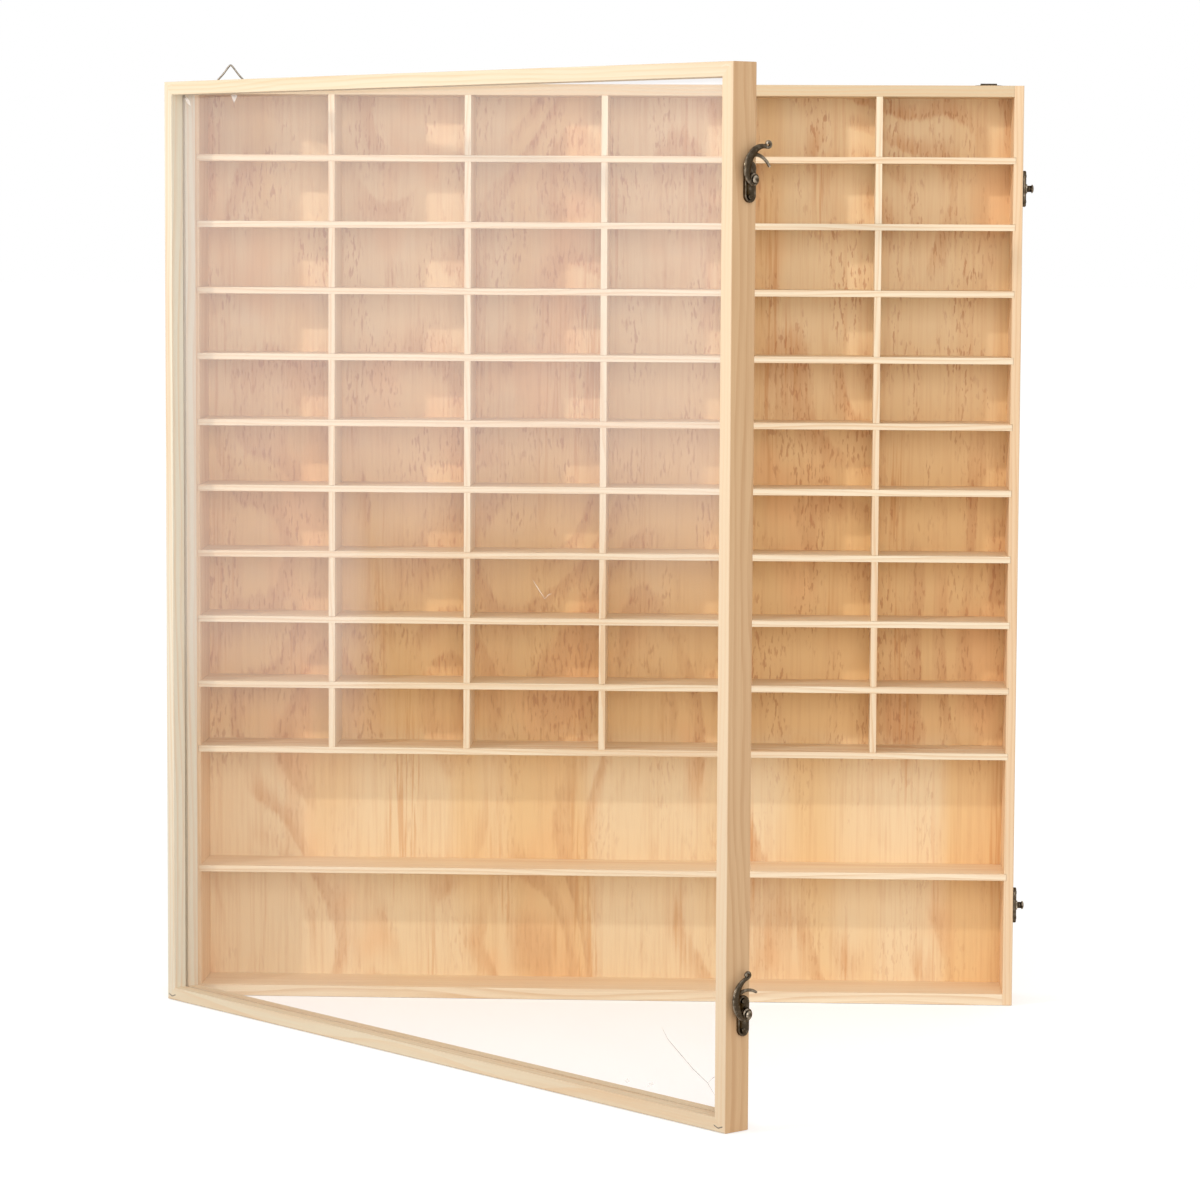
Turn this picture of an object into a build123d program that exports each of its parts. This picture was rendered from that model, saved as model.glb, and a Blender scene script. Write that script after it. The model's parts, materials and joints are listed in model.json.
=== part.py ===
from build123d import *
import os
from math import atan2, cos, degrees, hypot, radians, sin

# Wall display case for small toy cars, in millimetres.
# +X is to the right, the open front faces -Y, the wall is at +Y and +Z is up.
# The origin is the centre of the case's underside.

# Compartments
columns = 6
rows = 10
cell_width = 82
cell_height = 37.7
bay_height = 73
inner_depth = 44

# Boards of the case
wall_thickness = 6
board_thickness = 7
shelf_thickness = 4
divider_thickness = 4
back_thickness = 3
wall_rebate = 3
board_rebate = 4
housing_depth = 1.5
slip_gap = 0.1
case_rounding = 0.8

# Door frame and its clear panel
door_thickness = 18
member_width = 8
panel_thickness = 2
panel_setback = 8.5
groove_depth = 3
panel_edge_gap = 0.5
seam_gap = 0.3
door_rounding = 1
open_angle = 46.4

# Butt hinges on the left outer faces
hinge_height = 30
hinge_leaf_width = 14
hinge_leaf_thickness = 1
hinge_pin_radius = 1
hinge_inset = 75
knuckle_wall = 1
running_gap = 0.05
knuckle_gap = 0.1
knuckle_end_gap = 0.15
pin_head_radius = 1.7
pin_head_height = 0.9
hinge_screw_spacing = 18

# Swing-hook latches on the right outer faces. A hook turns on a rivet that stands a
# little above the middle of its plate, and its prong closes over a post
latch_inset = 64
hook_turns = {"upper": -28.5, "lower": 0}
latch_plate_width = 8
latch_plate_height = 22.5
latch_plate_thickness = 2
latch_screw_spacing = 16
hook_plate_setback = 5.8
catch_plate_setback = 4.1
pivot_rise = 1.2
collar_height = 0.8
head_height = 1.4
rivet_collar_radius = 2.4
rivet_neck_radius = 1.5
rivet_head_radius = 2.2
post_collar_radius = 2.9
post_neck_radius = 2
post_head_radius = 2.7
head_crown_inset = 0.7
hook_thickness = 2.2
hook_side_gap = 0.2
hook_play = 0.08
eye_radius = 3.4
prong_clearance = 0.25
prong_thickness = 1.7
prong_tip_angle = 59
prong_root_angle = 124
ball_centre = (0.3, 21.4)
ball_radius = 2.5

# The upright hook's arm, from the foot of its eye up to its ball: the place of its
# centre line, measured from the pivot, and half its width there
arm_line = [
    (-0.6, -2.5, 0.9),
    (-3.0, -2.0, 1.3),
    (-5.6, 0.2, 1.7),
    (-7.4, 3.4, 2.1),
    (-8.2, 7.2, 2.3),
    (-8.0, 11.0, 2.2),
    (-6.8, 14.5, 1.9),
    (-4.6, 17.3, 1.5),
    (-2.0, 19.3, 1.2),
    (ball_centre[0], ball_centre[1] - 0.6, 1.1),
]

# Hanging rings and the straps that hold them
hanger_inset = 20
strap_width = 10.5
strap_thickness = 0.8
strap_drop = 12
barrel_rise = 1.3
wire_radius = 0.65
wire_sides = 8
ring_width = 20
ring_height = 12.5
ring_bend = 2.6
strap_screw_drop = 6.3

# Pins, rivets and knuckles are drawn with this many flat sides, to keep them light
round_sides = 24

# Screws, flat-sided wire nails and the frame's V-nails
screw_radius = 0.8
screw_head_radius = 1.5
screw_head_height = 0.7
screw_head_taper = 35
screw_length = 4.5
screw_sides = 6
head_sides = 12
nail_width = 1.4
nail_wire = 1.1
nail_head_width = 2.2
nail_head_height = 0.5
nail_length = 20
nail_spacing = 22
pin_width = 1.0
pin_wire = 0.9
pin_length = 10
pin_count = 6
pinned_rows = (1, 4, 7)
v_nail_width = 7
v_nail_rise = 1.2
v_nail_wire = 0.7
v_nail_depth = 7
v_nail_side_inset = 5.2
v_nail_end_inset = 3.2

# Sizes of the case that follow
inner_width = columns * cell_width + (columns - 1) * divider_thickness
case_width = inner_width + 2 * wall_thickness
case_depth = inner_depth + back_thickness
grid_height = rows * cell_height + (rows - 1) * shelf_thickness
large_shelf_level = board_thickness + bay_height
grid_floor_level = large_shelf_level + shelf_thickness + bay_height
grid_level = grid_floor_level + shelf_thickness
case_height = grid_level + grid_height + board_thickness
front = -case_depth / 2
back = case_depth / 2
panel_front = back - back_thickness
shelf_middle = (front + panel_front) / 2
shelf_levels = [
    case_height - board_thickness - (row + 1) * (cell_height + shelf_thickness)
    for row in range(rows)
]
divider_places = [
    (column + 1) * (cell_width + divider_thickness) - (inner_width + divider_thickness) / 2
    for column in range(columns - 1)
]
bay_levels = (board_thickness, large_shelf_level + shelf_thickness)
rebate_bottom = board_thickness - board_rebate
rebate_height = case_height - 2 * rebate_bottom
side_names = {-1: "left", 1: "right"}

# Sizes of the hinges that follow
knuckle_bore = hinge_pin_radius + running_gap
knuckle_radius = knuckle_bore + knuckle_wall
axis_out = knuckle_radius + knuckle_gap
hinge_x = -case_width / 2 - axis_out
hinge_y = front - seam_gap / 2
hinge_levels = {"upper": case_height - hinge_inset, "lower": hinge_inset}
leaf_start = axis_out + knuckle_gap
leaf_middle = (leaf_start + hinge_leaf_width) / 2

# Sizes of the latches that follow
latch_heights = {"upper": case_height - latch_inset, "lower": latch_inset}
collar_face = latch_plate_thickness + collar_height
hook_face = collar_face + hook_side_gap
head_face = hook_face + hook_thickness + hook_side_gap
head_top = head_face + head_height
post_distance = hypot(hook_plate_setback + seam_gap + catch_plate_setback, pivot_rise)
prong_radius = post_distance + post_neck_radius + prong_clearance

# Sizes of the hangers that follow
barrel_bore = wire_radius + running_gap
barrel_radius = barrel_bore + strap_thickness
hanger_y = back + barrel_radius
hanger_z = case_height + barrel_rise
hanger_x = case_width / 2 - hanger_inset

# The open door is measured from the hinge axis: x along its width, y towards its back
# face, z up
open_turn = radians(open_angle)
door_x = Vector(cos(open_turn), -sin(open_turn), 0)
door_y = Vector(sin(open_turn), cos(open_turn), 0)
door_left = axis_out
door_right = axis_out + case_width
door_back = -seam_gap / 2
door_front = door_back - door_thickness


def door_point(along, inward, height):
    return Vector(hinge_x, hinge_y, height) + door_x * along + door_y * inward


def write(part, name):
    part.label = name
    export_step(part, f"parts/{name}.step")


def evenly(low, high, count):
    return [low + (high - low) * step / (count - 1) for step in range(count)]


def wood_screw():
    """A round-headed screw along -Z, with the underside of its head at Z = 0"""
    with BuildPart() as piece:
        with BuildSketch():
            RegularPolygon(screw_head_radius, head_sides)
        extrude(amount=screw_head_height, taper=screw_head_taper)
        with BuildSketch():
            RegularPolygon(screw_radius, screw_sides)
        extrude(amount=-screw_length)
    return piece.part


def screw_holes(planes, depth):
    """Holes in the part being made, one below each plane"""
    for plane in planes:
        with BuildSketch(plane) as hole:
            RegularPolygon(screw_radius, screw_sides)
        extrude(hole.sketch, amount=-depth, mode=Mode.SUBTRACT)


def wire_nail(width, wire, length, head_width):
    """A flat-sided nail below Z = 0, with a flush head when head_width is the larger"""
    with BuildPart() as piece:
        with BuildSketch():
            Rectangle(width, wire)
        extrude(amount=-length)
        with BuildSketch():
            Rectangle(head_width, wire)
        extrude(amount=-nail_head_height)
    return piece.part


def cut_away(piece, planes):
    """Take one copy of a piece out of the part being made, on each plane"""
    for plane in planes:
        add(piece.moved(plane.location), mode=Mode.SUBTRACT)


def fasteners(name, piece, planes):
    """Copies of one fastener, one on each plane"""
    with BuildPart() as group:
        for plane in planes:
            add(piece.moved(plane.location))
    write(group.part, name)


os.makedirs("parts", exist_ok=True)

screw = wood_screw()
nail = wire_nail(nail_width, nail_wire, nail_length, nail_head_width)
panel_pin = wire_nail(pin_width, pin_wire, pin_length, pin_width)

# Case nails go through the side walls into the boards' ends
nail_planes = [
    Plane(
        origin=(side * case_width / 2, y, level),
        x_dir=(0, 1, 0),
        z_dir=(side, 0, 0),
    )
    for side in side_names
    for y in (-nail_spacing / 2, nail_spacing / 2)
    for level in (board_thickness / 2, case_height - board_thickness / 2)
]

# Back panel pins run round the panel, in the middle of the rebates. Those in the side
# walls stand halfway up a bay or a row, clear of the shelves' housings
pin_x = (inner_width + wall_rebate) / 2
pin_ends = (rebate_bottom + board_rebate / 2, case_height - rebate_bottom - board_rebate / 2)
pin_sides = [level + bay_height / 2 for level in bay_levels]
pin_sides += [shelf_levels[row] + shelf_thickness + cell_height / 2 for row in pinned_rows]
pin_places = [(x, z) for x in evenly(-pin_x, pin_x, pin_count) for z in pin_ends]
pin_places += [(x, z) for x in (-pin_x, pin_x) for z in pin_sides]
pin_planes = [Plane(origin=(x, back, z), x_dir=(-1, 0, 0), z_dir=(0, 1, 0)) for x, z in pin_places]


def leaf_screw_planes(leaf_face, outward, along):
    """The two screws of each hinge leaf, with X along the leaf"""
    return [
        Plane(origin=leaf_face(level + offset), x_dir=along, z_dir=outward)
        for level in hinge_levels.values()
        for offset in (-hinge_screw_spacing / 2, hinge_screw_spacing / 2)
    ]


def latch_planes(wood_face, outward, backward):
    """The middle of each latch plate's back, with X towards the case's back and Y up"""
    return {
        place: Plane(origin=wood_face(level), x_dir=backward, z_dir=outward)
        for place, level in latch_heights.items()
    }


def latch_screw_planes(planes):
    return [
        Plane(
            origin=plane.origin + plane.y_dir * offset + plane.z_dir * latch_plate_thickness,
            x_dir=plane.x_dir,
            z_dir=plane.z_dir,
        )
        for plane in planes.values()
        for offset in (-latch_screw_spacing / 2, latch_screw_spacing / 2)
    ]


up = Vector(0, 0, 1)
to_right = Vector(1, 0, 0)
to_back = Vector(0, 1, 0)
leaf_out = axis_out - hinge_leaf_thickness
case_leaf_screws = leaf_screw_planes(
    lambda level: Vector(hinge_x + leaf_out, hinge_y + leaf_middle, level), -to_right, -to_back
)
door_leaf_screws = leaf_screw_planes(
    lambda level: door_point(leaf_out, -leaf_middle, level), -door_x, -door_y
)
hook_planes = latch_planes(
    lambda level: door_point(door_right, door_back - hook_plate_setback, level), door_x, door_y
)
pivot_planes = {
    place: Plane(origin=plane.origin + up * pivot_rise, x_dir=plane.x_dir, z_dir=plane.z_dir)
    for place, plane in hook_planes.items()
}
catch_planes = latch_planes(
    lambda level: Vector(case_width / 2, front + catch_plate_setback, level), to_right, to_back
)
hook_plate_screws = latch_screw_planes(hook_planes)
catch_plate_screws = latch_screw_planes(catch_planes)
hanger_screws = [
    Plane(
        origin=(side * hanger_x, back + strap_thickness, hanger_z - strap_screw_drop),
        x_dir=-to_right,
        z_dir=to_back,
    )
    for side in side_names
]

# Side walls, with housings for the shelf ends and a stopped rebate for the back panel
for side, side_name in side_names.items():
    with BuildPart() as side_wall:
        with BuildSketch() as wall_section:
            with Locations((side * (case_width - wall_thickness) / 2, 0)):
                Rectangle(wall_thickness, case_depth)
            fillet(wall_section.vertices().sort_by(Axis.X)[:: -side][:2], case_rounding)
        extrude(amount=case_height)
        with BuildSketch(Plane.XY.offset(rebate_bottom)):
            with Locations((side * (inner_width + wall_rebate) / 2, back - back_thickness / 2)):
                Rectangle(wall_rebate, back_thickness)
        extrude(amount=rebate_height, mode=Mode.SUBTRACT)
        for level in shelf_levels + [large_shelf_level]:
            with BuildSketch(Plane.XY.offset(level)):
                with Locations((side * (inner_width + housing_depth) / 2, shelf_middle)):
                    Rectangle(housing_depth, inner_depth)
            extrude(amount=shelf_thickness + slip_gap, mode=Mode.SUBTRACT)
        cut_away(nail, nail_planes)
        cut_away(panel_pin, pin_planes)
        screw_holes(case_leaf_screws + catch_plate_screws, screw_length)
    write(side_wall.part, f"side_wall_{side_name}")

# Top and bottom boards, rebated for the back panel and nailed between the side walls
for board_name, low, rebate_low in (
    ("bottom_board", 0, board_thickness - board_rebate),
    ("top_board", case_height - board_thickness, case_height - board_thickness),
):
    with BuildPart() as board:
        with BuildSketch(Plane.XY.offset(low)):
            Rectangle(inner_width, case_depth)
        extrude(amount=board_thickness)
        with BuildSketch(Plane.XY.offset(rebate_low)):
            with Locations((0, back - back_thickness / 2)):
                Rectangle(inner_width, back_thickness)
        extrude(amount=board_rebate, mode=Mode.SUBTRACT)
        cut_away(nail, nail_planes)
        cut_away(panel_pin, pin_planes)
        screw_holes(hanger_screws, screw_length)
    write(board.part, board_name)

with BuildPart() as back_panel:
    with BuildSketch(Plane.XZ.offset(-panel_front)):
        with Locations((0, case_height / 2)):
            Rectangle(inner_width + 2 * (wall_rebate - slip_gap), rebate_height - 2 * slip_gap)
    extrude(amount=-back_thickness)
    cut_away(panel_pin, pin_planes)
    screw_holes(hanger_screws, screw_length)
write(back_panel.part, "back_panel")

# Shelves. Those between two rows of the grid are notched from behind for the dividers
shelf_length = inner_width + 2 * (housing_depth - slip_gap)
shelves = [(f"shelf_{row + 1:02}", level, row < rows - 1) for row, level in enumerate(shelf_levels)]
shelves.append(("large_shelf", large_shelf_level, False))
lap_depth = inner_depth / 2
for shelf_name, level, notched in shelves:
    with BuildPart() as shelf:
        with BuildSketch(Plane.XY.offset(level)):
            with Locations((0, shelf_middle)):
                Rectangle(shelf_length, inner_depth)
            if notched:
                with Locations(*[(x, shelf_middle + lap_depth / 2) for x in divider_places]):
                    Rectangle(divider_thickness + slip_gap, lap_depth, mode=Mode.SUBTRACT)
        extrude(amount=shelf_thickness)
    write(shelf.part, shelf_name)

# Dividers stand on the grid's lowest shelf and are notched from the front
for number, place in enumerate(divider_places, start=1):
    with BuildPart() as divider:
        with BuildSketch(Plane.YZ.offset(place - divider_thickness / 2)):
            with Locations((shelf_middle, grid_level + grid_height / 2)):
                Rectangle(inner_depth, grid_height)
            notch_levels = [level + (shelf_thickness + slip_gap) / 2 for level in shelf_levels[:-1]]
            with Locations(*[(shelf_middle - lap_depth / 2, level) for level in notch_levels]):
                Rectangle(lap_depth, shelf_thickness + slip_gap, mode=Mode.SUBTRACT)
        extrude(amount=divider_thickness)
    write(divider.part, f"divider_{number}")

fasteners("case_nails", nail, nail_planes)
fasteners("back_panel_pins", panel_pin, pin_planes)

# Door frame: four lengths of one grooved moulding, mitred at the corners. Each runs
# clockwise from its first corner, with X towards the opening and Y towards the back
frame_members = {
    "stile_left": (door_point(door_left, door_front, 0), up, door_x, case_height),
    "rail_top": (door_point(door_left, door_front, case_height), door_x, -up, case_width),
    "stile_right": (door_point(door_right, door_front, case_height), -up, -door_x, case_height),
    "rail_bottom": (door_point(door_right, door_front, 0), -door_x, up, case_width),
}
v_nail_planes = [
    Plane(origin=door_point(along, door_front, height), x_dir=door_x, z_dir=-door_y)
    for along in (door_left + v_nail_side_inset, door_right - v_nail_side_inset)
    for height in (v_nail_end_inset, case_height - v_nail_end_inset)
]


def v_nails(mode):
    """A V-nail through each mitre, driven in from the front"""
    for plane in v_nail_planes:
        tip = -v_nail_rise if plane.origin.Z < case_height / 2 else v_nail_rise
        half = v_nail_width / 2
        with BuildSketch(plane) as v_section:
            with BuildLine():
                Polyline(
                    (-half, 0),
                    (0, tip),
                    (half, 0),
                    (half, v_nail_wire),
                    (0, tip + v_nail_wire),
                    (-half, v_nail_wire),
                    close=True,
                )
            make_face()
        extrude(v_section.sketch, amount=-v_nail_depth, mode=mode)


for member_name, (corner, along, inward, length) in frame_members.items():
    start = Plane(origin=corner, x_dir=inward, z_dir=along)
    end = Plane(origin=corner + along * length, x_dir=inward, z_dir=along)
    with BuildPart() as member:
        with BuildSketch(start) as moulding:
            Rectangle(member_width, door_thickness, align=Align.MIN)
            fillet(moulding.vertices().group_by(Axis.X)[0], door_rounding)
            with Locations((member_width - groove_depth, panel_setback)):
                Rectangle(
                    groove_depth,
                    panel_thickness + slip_gap,
                    align=Align.MIN,
                    mode=Mode.SUBTRACT,
                )
        extrude(amount=length)
        split(bisect_by=Plane(origin=start.origin, z_dir=along - inward), keep=Keep.TOP)
        split(bisect_by=Plane(origin=end.origin, z_dir=-along - inward), keep=Keep.TOP)
        v_nails(Mode.SUBTRACT)
        screw_holes(door_leaf_screws + hook_plate_screws, screw_length)
    write(member.part, member_name)

with BuildPart() as corner_nails:
    v_nails(Mode.ADD)
write(corner_nails.part, "corner_nails")

# The clear panel stands in the bottom groove, with room for the wood to move
panel_inset = member_width - groove_depth
panel_height = case_height - 2 * (panel_inset + panel_edge_gap)
panel_plane = Plane(
    origin=door_point(door_left + case_width / 2, door_front + panel_setback, panel_inset),
    x_dir=door_x,
    z_dir=-door_y,
)
with BuildPart() as acrylic_panel:
    with BuildSketch(panel_plane):
        Rectangle(
            case_width - 2 * (panel_inset + panel_edge_gap),
            panel_height,
            align=(Align.CENTER, Align.MIN),
        )
    extrude(amount=-panel_thickness)
write(acrylic_panel.part, "acrylic_panel")


def hinge_leaf(name, floor, knuckles, screws):
    """One leaf on the wood at X = axis_out, running from the hinge axis along Y"""
    leaf_length = hinge_leaf_width - leaf_start
    with BuildPart() as leaf:
        with BuildSketch(floor):
            with Locations((axis_out - hinge_leaf_thickness, leaf_start)):
                Rectangle(hinge_leaf_thickness, leaf_length, align=Align.MIN)
        extrude(amount=hinge_height)
        for low, high in knuckles:
            with BuildSketch(floor.offset(low)):
                with Locations((axis_out - hinge_leaf_thickness, 0)):
                    Rectangle(hinge_leaf_thickness, hinge_leaf_width, align=Align.MIN)
                RegularPolygon(knuckle_radius, round_sides)
                RegularPolygon(knuckle_bore, round_sides, mode=Mode.SUBTRACT)
            extrude(amount=high - low)
        screw_holes(screws, hinge_leaf_thickness)
    write(leaf.part, name)


# Butt hinges. The case's leaf has the outer knuckles and the door's leaf the middle one
third = hinge_height / 3
outer_knuckles = [
    (0, third - knuckle_end_gap / 2),
    (2 * third + knuckle_end_gap / 2, hinge_height),
]
middle_knuckle = [(third + knuckle_end_gap / 2, 2 * third - knuckle_end_gap / 2)]
for place, level in hinge_levels.items():
    low_end = Vector(hinge_x, hinge_y, level - hinge_height / 2)
    high_end = Vector(hinge_x, hinge_y, level + hinge_height / 2)
    case_floor = Plane(origin=low_end, x_dir=to_right, z_dir=up)
    door_floor = Plane(origin=high_end, x_dir=door_x, z_dir=-up)
    hinge_leaf(f"hinge_case_leaf_{place}", case_floor, outer_knuckles, case_leaf_screws)
    hinge_leaf(f"hinge_door_leaf_{place}", door_floor, middle_knuckle, door_leaf_screws)
    with BuildPart() as hinge_pin:
        with BuildSketch(Plane(origin=low_end)):
            RegularPolygon(hinge_pin_radius, round_sides)
        extrude(amount=hinge_height)
        for head_plane in (Plane(origin=high_end), Plane(origin=low_end, z_dir=-up)):
            with BuildSketch(head_plane):
                RegularPolygon(pin_head_radius, round_sides)
            extrude(amount=pin_head_height)
    write(hinge_pin.part, f"hinge_pin_{place}")

fasteners("hinge_case_screws", screw, case_leaf_screws)
fasteners("hinge_door_screws", screw, door_leaf_screws)


def latch_plate(name, plane, rivet_rise, collar_radius):
    """An oblong plate on the wood, with a hole for its rivet and two for screws"""
    with BuildPart() as plate:
        with BuildSketch(plane):
            SlotOverall(latch_plate_height, latch_plate_width, rotation=90)
            with Locations((0, rivet_rise)):
                RegularPolygon(collar_radius, round_sides, mode=Mode.SUBTRACT)
            with Locations((0, -latch_screw_spacing / 2), (0, latch_screw_spacing / 2)):
                RegularPolygon(screw_radius, screw_sides, mode=Mode.SUBTRACT)
        extrude(amount=latch_plate_thickness)
    write(plate.part, name)


def latch_rivet(name, plane, collar_radius, neck_radius, head_radius):
    """A shouldered rivet from the wood outwards, with a tapered head"""
    crown = degrees(atan2(head_crown_inset, head_height))
    stages = (
        (0, collar_face, collar_radius, 0),
        (collar_face, head_face, neck_radius, 0),
        (head_face, head_top, head_radius, crown),
    )
    with BuildPart() as rivet:
        for low, high, radius, taper in stages:
            with BuildSketch(plane.offset(low)):
                RegularPolygon(radius, round_sides)
            extrude(amount=high - low, taper=taper)
    write(rivet.part, name)


def prong():
    """A stretch of a ring round the pivot in the sketch being made, with a round tip"""
    outer_radius = prong_radius + prong_thickness
    sweep_angle = prong_root_angle - prong_tip_angle
    with BuildLine() as outline:
        inside = CenterArc((0, 0), prong_radius, prong_tip_angle, sweep_angle)
        outside = CenterArc((0, 0), outer_radius, prong_tip_angle, sweep_angle)
        Line(inside @ 0, outside @ 0)
        Line(inside @ 1, outside @ 1)
    make_face(outline.edges())
    with Locations((inside @ 0 + outside @ 0) / 2):
        Circle(prong_thickness / 2)


def arm_edge(line, side):
    """One edge of the arm: its centre line's points, set off by half its width"""
    points = []
    for place, (x, y, half) in enumerate(line):
        before = line[max(place - 1, 0)]
        after = line[min(place + 1, len(line) - 1)]
        run_x, run_y = after[0] - before[0], after[1] - before[1]
        run = hypot(run_x, run_y)
        points.append((x - side * half * run_y / run, y + side * half * run_x / run))
    return points


def swing_hook(name, plane, turn):
    """A hook that turns on its rivet. Its prong runs round the pivot, to close over the post"""
    swing = radians(turn)
    hook_plane = Plane(
        origin=plane.origin + plane.z_dir * hook_face,
        x_dir=plane.x_dir * cos(swing) + plane.y_dir * sin(swing),
        z_dir=plane.z_dir,
    )
    with BuildPart() as hook:
        with BuildSketch(hook_plane):
            with BuildLine():
                outer_edge = Spline(*arm_edge(arm_line, 1))
                inner_edge = Spline(*arm_edge(arm_line, -1))
                Line(outer_edge @ 0, inner_edge @ 0)
                Line(outer_edge @ 1, inner_edge @ 1)
            make_face()
            RegularPolygon(eye_radius, round_sides)
            with Locations(ball_centre):
                RegularPolygon(ball_radius, round_sides)
            prong()
            RegularPolygon(rivet_neck_radius + hook_play, round_sides, mode=Mode.SUBTRACT)
        extrude(amount=hook_thickness)
    write(hook.part, name)


rivet_radii = (rivet_collar_radius, rivet_neck_radius, rivet_head_radius)
post_radii = (post_collar_radius, post_neck_radius, post_head_radius)
for place in latch_heights:
    latch_plate(f"hook_plate_{place}", hook_planes[place], pivot_rise, rivet_collar_radius)
    latch_plate(f"catch_plate_{place}", catch_planes[place], 0, post_collar_radius)
    latch_rivet(f"hook_stud_{place}", pivot_planes[place], *rivet_radii)
    latch_rivet(f"catch_stud_{place}", catch_planes[place], *post_radii)
    swing_hook(f"hook_{place}", pivot_planes[place], hook_turns[place])

fasteners("hook_plate_screws", screw, hook_plate_screws)
fasteners("catch_plate_screws", screw, catch_plate_screws)

# A hanging ring's wire, from the middle of its straight side. Each of its three bends is
# drawn as two short straight lengths
ring_corners = [
    Vector(ring_width / 2, 0),
    Vector(0, ring_height),
    Vector(-ring_width / 2, 0),
]
ring_line = [(0, 0)]
for number, corner in enumerate(ring_corners):
    before = ring_corners[number - 1] if number else Vector(0, 0)
    after = ring_corners[number + 1] if number < 2 else Vector(0, 0)
    bend_start = corner + (before - corner).normalized() * ring_bend
    bend_end = corner + (after - corner).normalized() * ring_bend
    bend_middle = corner / 2 + (bend_start + bend_end) / 4
    ring_line += [(point.X, point.Y) for point in (bend_start, bend_middle, bend_end)]

# Hangers. The strap is rolled round the ring's straight side and screwed to the back
for side, side_name in side_names.items():
    with BuildPart() as strap:
        with BuildSketch(Plane.YZ.offset(side * hanger_x)):
            with Locations((back, hanger_z - strap_drop)):
                Rectangle(strap_thickness, strap_drop, align=Align.MIN)
            with Locations((hanger_y, hanger_z)):
                RegularPolygon(barrel_radius, round_sides)
                RegularPolygon(barrel_bore, round_sides, mode=Mode.SUBTRACT)
        extrude(amount=strap_width / 2, both=True)
        screw_holes(hanger_screws, strap_thickness)
    write(strap.part, f"hanger_strap_{side_name}")

    # The left ring stands up and the right one hangs behind the case
    ring_plane = Plane(
        origin=(side * hanger_x, hanger_y, hanger_z),
        x_dir=(1, 0, 0),
        z_dir=(0, side, 0),
    )
    with BuildPart() as ring:
        with BuildLine(ring_plane) as wire:
            Polyline(*ring_line, close=True)
        start = Plane(origin=ring_plane.origin, x_dir=ring_plane.z_dir, z_dir=ring_plane.x_dir)
        with BuildSketch(start) as wire_section:
            RegularPolygon(wire_radius, wire_sides)
        sweep(wire_section.sketch, path=wire.wires()[0], transition=Transition.RIGHT)
    write(ring.part, f"hanger_ring_{side_name}")

fasteners("hanger_screws", screw, hanger_screws)
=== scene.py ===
import json
import math

import bmesh
import bpy
from mathutils import Matrix, Vector


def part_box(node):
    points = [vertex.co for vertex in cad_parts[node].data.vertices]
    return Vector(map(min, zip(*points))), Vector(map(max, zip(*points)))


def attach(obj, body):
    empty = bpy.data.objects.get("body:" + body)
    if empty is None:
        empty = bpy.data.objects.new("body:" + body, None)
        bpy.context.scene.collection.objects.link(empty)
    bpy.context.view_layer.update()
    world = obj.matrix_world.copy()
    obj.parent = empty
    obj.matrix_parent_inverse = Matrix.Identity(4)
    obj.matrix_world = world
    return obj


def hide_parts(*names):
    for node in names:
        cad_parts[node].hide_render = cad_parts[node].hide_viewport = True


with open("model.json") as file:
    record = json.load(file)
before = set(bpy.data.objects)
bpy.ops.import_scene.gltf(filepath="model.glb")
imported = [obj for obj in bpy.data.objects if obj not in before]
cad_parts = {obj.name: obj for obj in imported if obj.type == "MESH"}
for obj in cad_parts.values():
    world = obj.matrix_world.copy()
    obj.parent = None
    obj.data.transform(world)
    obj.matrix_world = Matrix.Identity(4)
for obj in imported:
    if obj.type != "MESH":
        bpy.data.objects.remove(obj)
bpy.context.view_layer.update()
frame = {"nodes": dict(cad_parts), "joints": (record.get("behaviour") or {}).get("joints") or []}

# The wall display case as it looks: bare pine, a pine veneered back, a clear acrylic panel
# and antiqued latches. Everything is in metres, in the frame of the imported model.

mm = 0.001
joints = {joint["name"]: joint for joint in frame["joints"]}

# The door's own directions: along its width, towards its back face and up. The latch hooks
# turn about the first
door_x = Vector(joints["upper_hook_pivot"]["axis"])
up = Vector((0, 0, 1))
door_y = up.cross(door_x)
right = Vector((1, 0, 0))
back = Vector((0, 1, 0))


def corners_of(node):
    return [Vector(vertex.co) for vertex in frame["nodes"][node].data.vertices]


door_front_depth = min(corner.dot(door_y) for corner in corners_of("stile_right"))

# Camera, matched to the photograph
camera_place = (0.1177, -2.6933, 0.4953)
camera_lens = 127.09
camera_yaw = 2.555
camera_pitch = 5.105
camera_roll = 0.289

# Light: a pale room, a small lamp from the upper left that draws the bright patches at the
# right of the compartments, and a broad soft one beside the camera. Powers are in watts
world_level = 0.80
key_place = (-1.44, -1.05, 0.99)
key_aim = (0.0, -0.05, 0.60)
key_radius = 0.03
key_angle = 56
key_power = 50
fill_place = (0.35, -3.1, 1.0)
fill_aim = (0, 0, 0.3)
fill_size = 1.4
fill_power = 22
floor_lift = 0.40

# Colours, as linear albedo
pine_pale = (0.93, 0.78, 0.57)
pine_late = (0.76, 0.48, 0.26)
rail_pale = (0.80, 0.68, 0.50)
wall_pale = (0.89, 0.66, 0.43)
# Pale wood for the bottom board and the large shelf, made paler still as painted light on their
# top faces
board_pale_and_painted_light = (0.97, 0.80, 0.58)
# The top board's wood, darkened as painted shade over its front
top_wood_and_shade = (0.72, 0.56, 0.36)
hinge_stile_pale = (0.80, 0.74, 0.60)
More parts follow.
